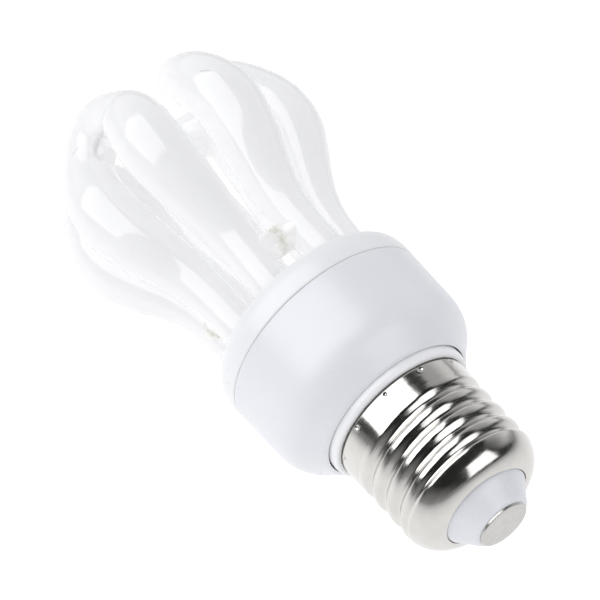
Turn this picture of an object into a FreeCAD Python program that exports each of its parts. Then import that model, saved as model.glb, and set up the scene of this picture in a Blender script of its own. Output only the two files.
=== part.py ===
import FreeCAD, Part
import math, os

V = FreeCAD.Vector

# ---------------------------------------------------------------- driving dimensions (mm)
# The lamp is drawn along its own axis: w = 0 at the face of the centre contact,
# w grows towards the crown of the glass.  It is laid down at the very end.

# screw cap, E27
THREAD_PITCH = 3.629
THREAD_CREST_R = 13.10
THREAD_DEPTH = 0.90
THREAD_PHASE_W = 0.51          # a crest passes here at azimuth 0
THREAD_LOW_W = (8.9, 10.4)     # the groove fades in over this height
THREAD_HIGH_W = (21.6, 23.0)   # and fades out over this one
SHELL_T = 0.30
SHELL_RIM_W = 27.05
SHELL_RIM_R = 13.15
NOSE_R = 8.40
NOSE_W = 4.70
STAKES = 11                    # punch marks that hold the shell on the neck
STAKE_AZ = 1.6
STAKE_W = 26.0
STAKE_BALL_R = 0.60
STAKE_DEPTH = 0.22
CONTACT_R = 4.75
CONTACT_T = 0.35
INSULATOR_EDGE_R = 8.28

# plastic neck, housing and tube holder
NECK_BORE_R = 10.5
COLLAR_R = 14.40
COLLAR_LOW_W = 27.10
NECK_SEAT_W = 32.0
HOUSING_MOUTH_R = 14.75
HOUSING_LOW_W = 29.40
SEAM_W = 47.60
SEAM_GAP = 0.16
SEAM_R = 20.0
HOLDER_TOP_W = 53.60
HOLDER_PLATE_T = 1.8
LEG_HOLE_R = 4.05

# board
BOARD_R = 17.0
BOARD_W = (43.6, 45.2)

# glass: one U of the four.  Stations from the foot of a leg to the middle of its bend:
# (distance from lamp axis, half distance between the two legs, height w, tube radius)
LEG_END_W = 49.6
U_STATIONS = [
    (11.75, 4.75, 49.6, 3.60),
    (11.75, 4.85, 53.6, 3.60),
    (11.78, 5.15, 60.0, 3.62),
    (12.10, 5.55, 66.5, 3.95),
    (13.20, 6.15, 72.0, 4.55),
    (15.20, 7.00, 78.0, 5.33),
    (16.85, 7.62, 83.5, 5.80),
    (17.50, 7.90, 88.0, 5.95),
    (16.90, 7.80, 92.5, 5.75),
    (15.70, 7.00, 96.2, 5.25),
    (14.20, 5.15, 98.7, 4.72),
    (12.75, 2.65, 100.1, 4.35),
    (12.10, 0.00, 100.5, 4.22),
]
# azimuth of each U, and how far its crown leans (radial, sideways, twist)
U_SET = [
    ("ab", -27.85, -0.28, 1.70, -0.085),
    ("cd", 71.40, 0.90, 0.17, 0.0),
    ("gh", 159.00, 0.0, 0.0, 0.0),
    ("ef", -113.20, -0.90, -0.30, 0.0),
]
LEAN_FROM_W = 56.0
LEAN_SPAN = 44.0
BRIDGE_W = 61.3
BRIDGE_R = 2.95

# resting pose: two neighbouring legs and the shoulder of the housing on the surface
REST_AZIMUTH = 204.58          # azimuth of the lamp that faces down
REST_TILT = 4.560              # the crown end of the axis points up by this much
REST_SHIFT = (52.3666, -0.5736, 16.7544)   # origin under the middle of the lamp, on the surface

os.makedirs("parts", exist_ok=True)


# ---------------------------------------------------------------- helpers
def p3(r, w):
    return V(r, 0, w)


def profile(*runs):
    """Closed profile in the r-w plane.  A run of two points is a line, a longer run a smooth curve."""
    edges = []
    for run in runs:
        pts = [p3(*q) for q in run]
        if len(pts) == 2:
            edges.append(Part.LineSegment(pts[0], pts[1]).toShape())
        else:
            c = Part.BSplineCurve()
            c.interpolate(pts)
            edges.append(c.toShape())
    return Part.Face(Part.Wire(edges))


def turned(*runs):
    s = profile(*runs).revolve(V(0, 0, 0), V(0, 0, 1), 360)
    return s if s.ShapeType == "Solid" else s.Solids[0]


def poly(pts):
    pts = list(pts)
    return [(pts[i], pts[i + 1]) for i in range(len(pts) - 1)]


def closed(pts):
    return poly(list(pts) + [pts[0]])


def tube_surface(rows):
    """Cubic surface from rows of poles, open along the rows and closed round each row."""
    n, m = len(rows), len(rows[0])
    s = Part.BSplineSurface()
    uk = [float(i) for i in range(n - 2)]
    um = [4] + [1] * (n - 4) + [4]
    vk = [float(i) for i in range(m + 1)]
    vm = [1] * (m + 1)
    s.buildFromPolesMultsKnots(rows, um, vm, uk, vk, False, True, 3, 3)
    return s


def capped(rows):
    face = tube_surface(rows).toShape()
    ends = [e for e in face.Edges if e.isClosed() and not e.isSeam(face)]
    faces = [face] + [Part.Face(Part.Wire([e])) for e in ends]
    sh = Part.makeShell(faces)
    sh.sewShape()
    so = Part.makeSolid(sh)
    if so.Volume < 0:
        so.reverse()
    return so


def smooth(t):
    t = max(0.0, min(1.0, t))
    return t * t * (3 - 2 * t)


def box(x0, x1, y0, y1, w0, w1, r=0.0):
    b = Part.makeBox(x1 - x0, y1 - y0, w1 - w0, V(x0, y0, w0))
    return b.makeFillet(r, b.Edges) if r else b


def cyl(x, y, w0, w1, r):
    return Part.makeCylinder(r, w1 - w0, V(x, y, w0))


def lead(points, r, bend):
    """Round wire along straight runs joined by tangent arcs."""
    pts = [V(*q) for q in points]
    edges, start = [], pts[0]
    for i in range(1, len(pts) - 1):
        a, b, c = pts[i - 1], pts[i], pts[i + 1]
        u, v = (a - b).normalize(), (c - b).normalize()
        half = math.acos(max(-1, min(1, u.dot(v)))) / 2
        cut = min(bend / math.tan(half), 0.45 * min((a - b).Length, (c - b).Length))
        rad = cut * math.tan(half)
        t0, t1 = b + u * cut, b + v * cut
        axis = (u + v).normalize()
        mid = b + axis * (rad / math.sin(half) - rad)
        edges.append(Part.LineSegment(start, t0).toShape())
        edges.append(Part.Arc(t0, mid, t1).toShape())
        start = t1
    edges.append(Part.LineSegment(start, pts[-1]).toShape())
    path = Part.Wire(edges)
    ring = Part.Wire([Part.Circle(pts[0], pts[1] - pts[0], r).toShape()])
    return path.makePipeShell([ring], True, True)


def one(shapes):
    s = shapes[0].fuse(shapes[1:]) if len(shapes) > 1 else shapes[0]
    s = s.removeSplitter()
    return s.Solids[0] if len(s.Solids) == 1 else s


def axial(x, y, deg, length, r, w, side, leg=0.30, span=1.6):
    """Axial part lying on the board, its two leads bent down to it."""
    h = r + 0.25
    wc = w + side * h
    body = Part.makeCylinder(r, length, V(-length / 2, 0, 0), V(1, 0, 0))
    body = body.makeFillet(r * 0.3, [e for e in body.Edges if e.isClosed() and len(e.Vertexes) == 1 and abs(e.BoundBox.XLength) < 1e-6])
    out = [body]
    for k in (-1, 1):
        out.append(lead([(k * (length / 2 - 0.4), 0, 0), (k * (length / 2 + span), 0, 0), (k * (length / 2 + span), 0, -side * h)], leg, 0.6))
    s = one(out)
    s.rotate(V(0, 0, 0), V(0, 0, 1), deg)
    s.translate(V(x, y, wc))
    return s


# ---------------------------------------------------------------- screw cap
def thread_fade(w):
    return smooth((w - THREAD_LOW_W[0]) / (THREAD_LOW_W[1] - THREAD_LOW_W[0])) * \
        smooth((THREAD_HIGH_W[1] - w) / (THREAD_HIGH_W[1] - THREAD_HIGH_W[0]))


NOSE = [(8.40, 4.70), (8.75, 4.74), (9.15, 4.84), (9.6, 4.99), (10.1, 5.22), (10.65, 5.55), (11.2, 5.98), (11.7, 6.5),
        (12.15, 7.1), (12.5, 7.75), (12.78, 8.4), (12.96, 9.0), (13.06, 9.5)]


def shell_rows(offset, ring=28):
    """Rows of poles of the shell's skin, moved in by offset.  The seam lies between two punch marks."""
    st = list(NOSE)
    w = 9.82
    while w < 23.6:
        st.append((THREAD_CREST_R, w))
        w += THREAD_PITCH / 8.0
    st += [(13.12, 24.0), (13.14, 25.0), (13.15, 26.0), (13.15, 26.6), (SHELL_RIM_R, SHELL_RIM_W)]
    grow = 3.0 / (2.0 + math.cos(2 * math.pi / ring))
    swell = 3.0 / (2.0 + math.cos(2 * math.pi / 8.0))
    start = math.radians(STAKE_AZ + 180.0 / STAKES)
    rows = []
    for i, (r, w) in enumerate(st):
        a, b = st[max(0, i - 1)], st[min(len(st) - 1, i + 1)]
        tr, tw = b[0] - a[0], b[1] - a[1]
        ln = math.hypot(tr, tw)
        nr, nw = -tw / ln, tr / ln
        if i == 0:
            nr, nw = 0.0, 1.0
        if i == len(st) - 1:
            nr, nw = -1.0, 0.0
        row = []
        for k in range(ring):
            th = start + 2 * math.pi * k / ring
            ph = 2 * math.pi * (w - THREAD_PHASE_W) / THREAD_PITCH - th
            cut = thread_fade(w) * 0.5 * THREAD_DEPTH * (1 - swell * math.cos(ph))
            rr = (r - cut + nr * offset) * grow
            row.append(V(rr * math.cos(th), rr * math.sin(th), w + nw * offset))
        rows.append(row)
    return rows


def shell_inner_r(w, az):
    ph = 2 * math.pi * (w - THREAD_PHASE_W) / THREAD_PITCH - math.radians(az)
    return THREAD_CREST_R - SHELL_T - thread_fade(w) * 0.5 * THREAD_DEPTH * (1 - math.cos(ph))


def make_screw_shell():
    skins = [tube_surface(shell_rows(t)).toShape() for t in (0.0, SHELL_T)]
    ends = [sorted((e for e in f.Edges if e.isClosed() and not e.isSeam(f)), key=lambda e: e.BoundBox.ZMax) for f in skins]
    rims = [Part.makeRuledSurface(a, b) for a, b in zip(*ends)]
    sh = Part.makeShell(skins + rims)
    sh.sewShape()
    s = Part.makeSolid(sh)
    if s.Volume < 0:
        s.reverse()
    balls = []
    for k in range(STAKES):
        a = math.radians(STAKE_AZ + 360.0 * k / STAKES)
        d = SHELL_RIM_R + STAKE_BALL_R - STAKE_DEPTH
        balls.append(Part.makeSphere(STAKE_BALL_R, V(d * math.cos(a), d * math.sin(a), STAKE_W)))
    s = s.cut(Part.makeCompound(balls))
    return max(s.Solids, key=lambda q: q.Volume)


def make_insulator():
    return turned(*(
        [((1.3, CONTACT_T), (4.95, CONTACT_T)),
         ((4.95, CONTACT_T), (5.25, 0.55), (6.1, 1.75), (7.2, 3.3), (8.05, 4.45), (INSULATOR_EDGE_R, 4.85))]
        + poly([(INSULATOR_EDGE_R, 4.85), (INSULATOR_EDGE_R, 5.3), (9.1, 5.55), (9.1, 7.4), (1.3, 7.4), (1.3, CONTACT_T)])))


def make_contact():
    return turned(*(
        [((0, 0.0), (3.4, 0.0)), ((3.4, 0.0), (4.2, 0.03), (4.6, 0.12), (CONTACT_R, 0.27), (CONTACT_R, CONTACT_T))]
        + poly([(CONTACT_R, CONTACT_T), (1.25, CONTACT_T), (1.25, 7.4), (2.2, 7.4), (2.2, 7.75), (1.7, 8.1), (0, 8.1), (0, 0)])))


# ---------------------------------------------------------------- plastic body
def make_neck():
    return turned(*(
        poly([(NECK_BORE_R, 13.0), (11.3, 13.0), (11.6, 13.4), (11.6, 22.6), (12.78, 23.6), (12.78, COLLAR_LOW_W), (13.35, COLLAR_LOW_W)])
        + [((13.35, COLLAR_LOW_W), (13.75, 27.22), (14.12, 27.62), (14.33, 28.2), (COLLAR_R, 28.9))]
        + poly([(COLLAR_R, 28.9), (COLLAR_R, NECK_SEAT_W), (16.1, NECK_SEAT_W), (16.1, 33.3), (NECK_BORE_R, 33.3), (NECK_BORE_R, 13.0)])))


HOUSING_OUT = [(14.98, 29.40), (15.5, 29.66), (16.25, 30.42), (17.15, 31.35), (18.25, 32.55), (19.15, 34.1), (19.65, 36.0), (19.80, 38.2),
               (19.84, 41.0), (19.92, 44.5), (19.98, 47.3)]


def make_housing():
    s = turned(
        ((HOUSING_MOUTH_R, 29.58), (14.98, 29.40)), tuple(HOUSING_OUT), *poly([(19.98, 47.3), (19.82, SEAM_W), (18.35, SEAM_W), (18.35, 38.4)]),
        ((18.35, 38.4), (18.2, 36.6), (17.65, 34.6), (16.9, 33.1), (16.4, NECK_SEAT_W)),
        ((16.4, NECK_SEAT_W), (HOUSING_MOUTH_R, NECK_SEAT_W)), ((HOUSING_MOUTH_R, NECK_SEAT_W), (HOUSING_MOUTH_R, 29.58)))
    # six ribs carry the board
    ribs = []
    for k in range(6):
        b = box(17.15, 18.45, -0.7, 0.7, 37.4, BOARD_W[0])
        b.rotate(V(0, 0, 0), V(0, 0, 1), 30 + 60 * k)
        ribs.append(b)
    s = s.fuse(ribs).removeSplitter()
    return s.Solids[0]


def leg_feet():
    out = []
    for name, az, *_ in U_SET:
        r0, s0 = U_STATIONS[1][0], U_STATIONS[1][1]
        a = math.radians(az)
        for sg in (-1, 1):
            out.append((r0 * math.cos(a) - sg * s0 * math.sin(a), r0 * math.sin(a) + sg * s0 * math.cos(a)))
    return out


def make_holder():
    lo = SEAM_W + SEAM_GAP
    s = turned(
        *(poly([(17.15, 45.2), (18.0, 45.2), (18.28, 45.5), (18.28, lo), (19.84, lo), (20.0, lo + 0.25)])
          + [((20.0, lo + 0.25), (20.03, 49.4), (19.92, 50.8), (19.5, 52.1), (18.75, 53.05), (17.9, 53.48), (17.0, HOLDER_TOP_W))]
          + poly([(17.0, HOLDER_TOP_W), (0, HOLDER_TOP_W), (0, HOLDER_TOP_W - HOLDER_PLATE_T), (17.15, HOLDER_TOP_W - HOLDER_PLATE_T), (17.15, 45.2)])))
    holes = [cyl(x, y, 50, 56, LEG_HOLE_R) for x, y in leg_feet()]
    s = s.cut(Part.makeCompound(holes))
    return s.Solids[0]


# ---------------------------------------------------------------- glass
def u_path(lean_r, lean_s, twist):
    """Dense stations of a whole U, leg to leg."""
    half = [(r, -s, w, a) for r, s, w, a in U_STATIONS]
    full = half + [(r, -s, w, a) for r, s, w, a in reversed(half[:-1])]
    out = []
    for r, s, w, a in full:
        g = smooth((w - LEAN_FROM_W) / LEAN_SPAN)
        out.append((r + lean_r * g, s + lean_s * g, w + twist * s * g, a))
    c = Part.BSplineCurve()
    c.interpolate([V(*q[:3]) for q in out])
    pars = [c.parameter(V(*q[:3])) for q in out]
    rc = Part.BSplineCurve()
    rc.interpolate(Points=[V(q[3], k * 5.0, 0) for k, q in enumerate(out)], Parameters=pars)
    n = 64
    rows = []
    total = c.length()
    for i in range(n):
        t = c.parameterAtDistance(total * i / (n - 1.0))
        rows.append((c.value(t), c.tangent(t)[0], rc.value(t).x))
    return rows


def make_u(az, lean_r, lean_s, twist, ring=12):
    grow = 3.0 / (2.0 + math.cos(2 * math.pi / ring))
    rows, side = [], V(1, 0, 0)
    stations = u_path(lean_r, lean_s, twist)
    for i, (c, t, r) in enumerate(stations):
        if i in (0, len(stations) - 1):
            t = V(0, 0, 1) if i == 0 else V(0, 0, -1)
        n = (side - t * side.dot(t)).normalize()
        b = t.cross(n)
        side = n
        rows.append([c + (n * math.cos(2 * math.pi * k / ring) + b * math.sin(2 * math.pi * k / ring)) * (r * grow) for k in range(ring)])
    s = capped(rows)
    s.rotate(V(0, 0, 0), V(0, 0, 1), az)
    return s


def leg_at(az, sg, w):
    st = U_STATIONS
    for a, b in zip(st, st[1:]):
        if a[2] <= w <= b[2]:
            k = (w - a[2]) / (b[2] - a[2])
            r, s = a[0] + k * (b[0] - a[0]), sg * (a[1] + k * (b[1] - a[1]))
            t = math.radians(az)
            return V(r * math.cos(t) - s * math.sin(t), r * math.sin(t) + s * math.cos(t), w)


def make_glass():
    us = [make_u(az, lr, ls, tw) for _, az, lr, ls, tw in U_SET]
    az = {n: a for n, a, *_ in U_SET}
    links = []
    for (n0, s0), (n1, s1) in ((("ef", 1), ("ab", -1)), (("ab", 1), ("cd", -1)), (("cd", 1), ("gh", -1))):
        a, b = leg_at(az[n0], s0, BRIDGE_W), leg_at(az[n1], s1, BRIDGE_W)
        links.append(Part.makeCylinder(BRIDGE_R, (b - a).Length, a, b - a))
    g = us[0].fuse(us[1:] + links)
    return g.Solids[0]


# ---------------------------------------------------------------- ballast
W_UNDER, W_OVER = BOARD_W


def make_board():
    s = cyl(0, 0, W_UNDER, W_OVER, BOARD_R)
    s = s.cut(box(-2, 2, 16.2, 18, 40, 47))
    s = s.cut(cyl(14.2, -7.2, 40, 47, 0.9))
    return s.Solids[0]


def make_bulk():
    can = cyl(0, 4.5, 27.0, 42.8, 5.0)
    can = can.makeFillet(0.5, [e for e in can.Edges if len(e.Vertexes) == 1 and e.BoundBox.ZLength < 1e-6])
    groove = Part.makeTorus(5.25, 0.55, V(0, 4.5, 41.0), V(0, 0, 1))
    return one([can.cut(groove), cyl(-1.25, 4.5, 42.5, W_UNDER, 0.3), cyl(1.25, 4.5, 42.5, W_UNDER, 0.3)])


def make_choke_core():
    s = box(-6.5, 6.5, -10.0, -5.0, 33.8, 42.6)
    for w0, w1 in ((35.3, 36.8), (39.6, 41.1)):
        s = s.cut(box(-4.8, 4.8, -11, -4, w0, w1))
    return s.Solids[0]


def make_choke_bobbin():
    s = box(-4.7, 4.7, -10.45, -4.55, 36.4, 40.0)
    for x in (-4.7, 4.1):
        s = s.fuse(box(x, x + 0.6, -12.6, -2.4, 35.36, 41.04))
    s = s.cut(box(-6, 6, -10.02, -4.98, 36.78, 39.62))
    # two feet with the winding's ends stand on the board beside the core
    for x in (-4.4, 4.4):
        s = s.fuse(cyl(x, -11.6, 40.9, W_UNDER, 0.35)).fuse(cyl(x, -3.4, 40.9, W_UNDER, 0.35))
    return s.removeSplitter().Solids[0]


def make_choke_winding():
    o = box(-4.05, 4.05, -12.2, -2.8, 35.45, 40.95)
    o = o.makeFillet(0.9, [e for e in o.Edges if e.BoundBox.XLength > 5])
    return o.cut(box(-5, 5, -10.47, -4.53, 36.38, 40.02)).Solids[0]


TOR = (10.4, 2.0, 40.6)


def make_toroid():
    x, y, w = TOR
    o = cyl(x, y, w - 1.4, w + 1.4, 3.9).cut(cyl(x, y, w - 2, w + 2, 2.0))
    return o.makeFillet(0.3, [e for e in o.Edges if len(e.Vertexes) == 1 and e.BoundBox.ZLength < 1e-6])


def make_toroid_windings():
    x, y, w = TOR
    out = []
    for deg in (0, 14, 28, 42, 56, 130, 146, 162, 230, 246, 262):
        a = math.radians(deg)
        c = V(x + 2.95 * math.cos(a), y + 2.95 * math.sin(a), w)
        out.append(Part.makeTorus(2.05, 0.26, c, V(-math.sin(a), math.cos(a), 0)))
    # neighbouring turns of one winding touch inside the ring, so they are one wire each
    g = out[0].fuse(out[1:])
    return g


def make_transistors():
    out = []
    for x0, x1, y0, y1, w0 in ((-13.0, -10.2, 0.4, 7.8, 33.9), (10.2, 13.0, -10.4, -3.4, 35.2)):
        b = box(x0, x1, y0, y1, w0, w0 + 7.0, 0.25)
        xm, ym = (x0 + x1) / 2, (y0 + y1) / 2
        legs = [cyl(xm, ym + d, w0 + 6.8, W_UNDER, 0.35) for d in (-2.2, 0, 2.2)]
        hole = Part.makeCylinder(1.3, 6, V(x0 - 1, ym, w0 + 2.1), V(1, 0, 0))
        out.append(one([b.cut(hole)] + legs))
    return Part.makeCompound(out)


def make_film_caps():
    out = []
    for x0, x1, y0, y1, w0 in ((-4.0, 4.6, 10.9, 14.7, 35.6), (-12.9, -8.2, -8.8, -3.0, 36.2), (6.6, 10.6, 8.2, 11.4, 37.0)):
        b = box(x0, x1, y0, y1, w0, 42.9, 0.7)
        xm, ym = (x0 + x1) / 2, (y0 + y1) / 2
        dx, dy = ((x1 - x0) / 2 - 1.2, 0) if x1 - x0 > y1 - y0 else (0, (y1 - y0) / 2 - 1.2)
        out.append(one([b] + [cyl(xm + k * dx, ym + k * dy, 42.5, W_UNDER, 0.3) for k in (-1, 1)]))
    return Part.makeCompound(out)


def make_diodes():
    return Part.makeCompound([axial(0.2, y, 0, 4.2, 1.2, W_OVER, 1) for y in (-5.2, -1.8, 1.6, 5.0)])


def make_resistors():
    return Part.makeCompound([axial(x, y, d, 3.6, 0.85, W_OVER, 1, 0.25) for x, y, d in
                              ((0.6, -11.6, 0), (0.6, -8.6, 0), (0.6, 11.4, 0), (8.6, -6.6, 90), (11.4, -4.0, 90), (-0.4, 8.3, 0))])


def make_diac():
    return axial(9.6, 5.4, 60, 3.4, 0.8, W_OVER, 1, 0.25)


FUSE = (-6.2, -2.0)


def make_fuse():
    x, y = FUSE
    b = cyl(x, y, 15.0, 22.5, 1.45)
    b = b.makeFillet(0.45, [e for e in b.Edges if len(e.Vertexes) == 1 and e.BoundBox.ZLength < 1e-6])
    return one([b, cyl(x, y, 12.6, 15.2, 0.32), cyl(x, y, 22.3, 24.6, 0.32)])


def make_live():
    x, y = FUSE
    low = lead([(0, 0, 8.1), (0, 0, 10.2), (x, y, 10.9), (x, y, 12.6)], 0.55, 1.2)
    up = lead([(x, y, 24.6), (x, y, 30.0), (x - 0.6, y + 1.0, 36.0), (x - 0.6, y + 1.0, W_UNDER)], 0.55, 3.0)
    return Part.makeCompound([low, up])


def make_neutral():
    az, w = 160.0, 11.2
    a = math.radians(az)
    r = shell_inner_r(w, az) - 0.12
    q = lambda d, h: (d * math.cos(a), d * math.sin(a), h)
    return lead([q(r, w), q(9.0, w), q(9.0, 24.0), q(8.6, 36.0), q(8.6, W_UNDER)], 0.5, 1.2)


def electrode_feet():
    az = {n: a for n, a, *_ in U_SET}
    return [leg_at(az["gh"], 1, LEG_END_W), leg_at(az["ef"], -1, LEG_END_W)]


def pin_places():
    out = []
    for c in electrode_feet():
        rad = V(c.x, c.y, 0).normalize()
        tan = V(-rad.y, rad.x, 0)
        for k in (-1, 1):
            out.append((c, c + tan * (1.1 * k), V(c.x, c.y, 0) - rad * 2.4 + tan * (2.0 * k)))
    return out


def make_pins():
    out = []
    for _, _, f in pin_places():
        b = box(f.x - 0.4, f.x + 0.4, f.y - 0.4, f.y + 0.4, W_OVER, 48.3)
        out.append(b)
    return Part.makeCompound(out)


def make_filament_leads():
    out = []
    for _, top, f in pin_places():
        d = (V(f.x, f.y, 0) - V(top.x, top.y, 0))
        n = d.normalize()
        e = V(f.x, f.y, 0) - n * 0.62
        out.append(lead([(top.x, top.y, LEG_END_W), (top.x, top.y, 48.3), (e.x, e.y, 47.6)], 0.22, 0.5))
    return Part.makeCompound(out)


# ---------------------------------------------------------------- lay the lamp down
def lay(shape):
    """Crown towards -X, cap towards +X, the resting azimuth downwards."""
    # turn the resting azimuth to lamp -X, then lamp axis to world -X
    m1 = FreeCAD.Placement(V(0, 0, 0), FreeCAD.Rotation(V(0, 0, 1), 180.0 - REST_AZIMUTH))
    m2 = FreeCAD.Placement(V(0, 0, 0), FreeCAD.Rotation(V(0, 1, 0), -90.0))
    m3 = FreeCAD.Placement(V(0, 0, 0), FreeCAD.Rotation(V(0, 1, 0), REST_TILT))
    m4 = FreeCAD.Placement(V(*REST_SHIFT), FreeCAD.Rotation())
    s = shape.copy()
    s.Placement = m4.multiply(m3).multiply(m2).multiply(m1).multiply(s.Placement)
    return s


def build():
    glass = make_glass()
    holder = make_holder()
    cement = cyl(0, 0, 50.3, HOLDER_TOP_W - HOLDER_PLATE_T, 17.1).cut(glass).Solids[0]
    return {
        "discharge_tube": glass,
        "tube_holder": holder,
        "tube_cement": cement,
        "lower_housing": make_housing(),
        "cap_neck": make_neck(),
        "screw_shell": make_screw_shell(),
        "cap_insulator": make_insulator(),
        "centre_contact": make_contact(),
        "circuit_board": make_board(),
        "bulk_capacitor": make_bulk(),
        "choke_core": make_choke_core(),
        "choke_bobbin": make_choke_bobbin(),
        "choke_winding": make_choke_winding(),
        "drive_toroid": make_toroid(),
        "toroid_windings": make_toroid_windings(),
        "switching_transistors": make_transistors(),
        "film_capacitors": make_film_caps(),
        "rectifier_diodes": make_diodes(),
        "resistors": make_resistors(),
        "trigger_diac": make_diac(),
        "fuse_resistor": make_fuse(),
        "live_wire": make_live(),
        "neutral_wire": make_neutral(),
        "wrap_pins": make_pins(),
        "filament_leads": make_filament_leads(),
    }


def main():
    for name, shape in build().items():
        laid = lay(shape)
        laid.exportStep("parts/%s.step" % name)
        print("%-22s solids %d  valid %s  volume %9.2f" % (name, len(laid.Solids), laid.isValid(), laid.Volume))


main()
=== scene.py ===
import bpy
import bmesh
import math
import numpy as np
from mathutils import Matrix, Vector


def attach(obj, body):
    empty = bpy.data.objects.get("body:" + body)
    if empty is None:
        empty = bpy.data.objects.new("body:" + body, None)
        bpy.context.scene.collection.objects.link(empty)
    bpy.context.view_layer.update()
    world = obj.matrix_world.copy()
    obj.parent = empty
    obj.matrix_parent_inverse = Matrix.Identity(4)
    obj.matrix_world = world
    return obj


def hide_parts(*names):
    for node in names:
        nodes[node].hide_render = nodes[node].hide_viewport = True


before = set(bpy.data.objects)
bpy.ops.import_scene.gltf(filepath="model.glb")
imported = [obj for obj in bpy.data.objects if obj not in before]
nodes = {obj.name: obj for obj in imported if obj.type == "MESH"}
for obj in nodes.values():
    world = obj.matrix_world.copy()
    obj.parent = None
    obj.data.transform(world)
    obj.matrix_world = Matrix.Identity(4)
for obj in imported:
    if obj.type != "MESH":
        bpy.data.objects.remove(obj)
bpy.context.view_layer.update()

# ------------------------------------------------------------------ dimensions (mm, along the lamp's own axis)
THREAD_PITCH, THREAD_CREST_R, THREAD_DEPTH, THREAD_PHASE_W = 3.629, 13.10, 0.90, 0.51
THREAD_LOW_W, THREAD_HIGH_W = (8.9, 10.4), (21.6, 23.0)
SHELL_T, SHELL_RIM_R, SHELL_RIM_W = 0.30, 13.15, 26.90
STAKES, STAKE_AZ, STAKE_W = 11, 1.6, 26.12
NOSE = [(8.40, 4.70), (8.75, 4.74), (9.15, 4.84), (9.6, 4.99), (10.1, 5.22), (10.65, 5.55), (11.2, 5.98), (11.7, 6.5),
        (12.15, 7.1), (12.5, 7.75), (12.78, 8.4), (12.96, 9.0), (13.06, 9.5)]
HOUSING_OUT = [(14.52, 28.70), (14.92, 28.90), (15.50, 29.48), (16.25, 30.35), (17.15, 31.33), (18.25, 32.55), (19.15, 34.1), (19.65, 36.0),
               (19.80, 38.2), (19.84, 41.0), (19.92, 44.5), (19.98, 47.3)]
SEAM_W, SEAM_GAP = 47.62, 0.08
HOLDER_TOP_W, HOLDER_PLATE_T, LEG_HOLE_R = 53.60, 1.8, 4.05
U_STATIONS = [
    (11.75, 4.75, 49.6, 3.60), (11.75, 4.85, 53.6, 3.60), (11.78, 5.15, 60.0, 3.62), (12.10, 5.55, 66.5, 3.95),
    (13.20, 6.15, 72.0, 4.55), (15.20, 7.00, 78.0, 5.33), (16.85, 7.62, 83.5, 5.80), (17.50, 7.90, 88.0, 5.95),
    (16.90, 7.80, 92.5, 5.75), (15.70, 7.00, 96.2, 5.25), (14.20, 5.15, 98.7, 4.72), (12.75, 2.65, 100.1, 4.35),
    (12.10, 0.00, 100.5, 4.22)]
U_SET = [("ab", -27.85, -0.28, 1.70, -0.085), ("cd", 71.40, 0.90, 0.17, 0.0),
         ("gh", 159.00, 0.0, 0.0, 0.0), ("ef", -113.20, -0.90, -0.30, 0.0)]
# how each blown loop differs from the pattern: station number, then radius from the axis, side, height, bore
BENT = {
    "ab": {
           5: (-0.03, 0.00, -0.04, 0.01), 6: (-0.11, 0.05, -0.13, -0.06), 7: (-0.27, 0.15, -0.29, -0.22), 8: (-0.50, 0.32, -0.47, -0.49), 9: (-0.61, 0.45, -0.53, -0.66),
           10: (-0.34, 0.37, -0.20, -0.33), 11: (0.11, 0.18, 0.30, 0.21), 12: (0.40, 0.01, 0.59, 0.54), 13: (0.32, -0.15, 0.34, 0.30), 14: (0.08, -0.30, -0.12, -0.14),
           15: (-0.10, -0.16, -0.25, -0.15), 16: (-0.12, -0.01, -0.18, -0.04), 17: (-0.08, 0.03, -0.10, -0.01), 18: (-0.05, 0.04, -0.04, 0.01)},
    "cd": {
           6: (-0.02, 0.02, -0.04, -0.01), 7: (-0.08, 0.05, -0.12, -0.07), 8: (-0.19, 0.09, -0.25, -0.18), 9: (-0.32, 0.14, -0.36, -0.31), 10: (-0.44, 0.08, -0.34, -0.31),
           11: (-0.34, -0.06, -0.04, -0.01), 12: (-0.23, -0.09, 0.02, 0.02), 13: (-0.20, -0.07, -0.01, -0.03), 14: (-0.27, -0.03, -0.10, -0.16), 15: (-0.31, 0.01, -0.20, -0.24),
           16: (-0.27, 0.06, -0.27, -0.21), 17: (-0.02, 0.15, -0.30, 0.00), 18: (0.31, 0.26, -0.29, 0.30), 19: (0.27, 0.16, -0.17, 0.19), 20: (0.22, 0.10, -0.05, 0.12),
           21: (0.12, 0.06, -0.03, 0.06)},
    "ef": {
           13: (-0.06, -0.07, -0.05, -0.06), 14: (-0.11, -0.13, -0.11, -0.12), 15: (-0.12, -0.19, -0.20, -0.20), 16: (-0.01, -0.15, -0.21, -0.11), 17: (0.19, -0.02, -0.17, 0.10),
           18: (0.31, 0.07, -0.12, 0.23), 19: (0.18, 0.06, -0.03, 0.11), 20: (0.05, 0.03, 0.01, 0.01)},
}
BENT["gh"] = {3: (0.0, 0.60, 0.0, 0.04), 4: (0.0, 1.40, 0.0, 0.10), 5: (0.0, 2.15, 0.0, 0.15), 6: (0.0, 2.35, 0.0, 0.15),
              7: (0.0, 2.15, 0.0, 0.10), 8: (0.0, 1.55, 0.0, 0.05), 9: (0.0, 0.80, 0.0, 0.0), 10: (0.0, 0.25, 0.0, 0.0)}
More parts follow.
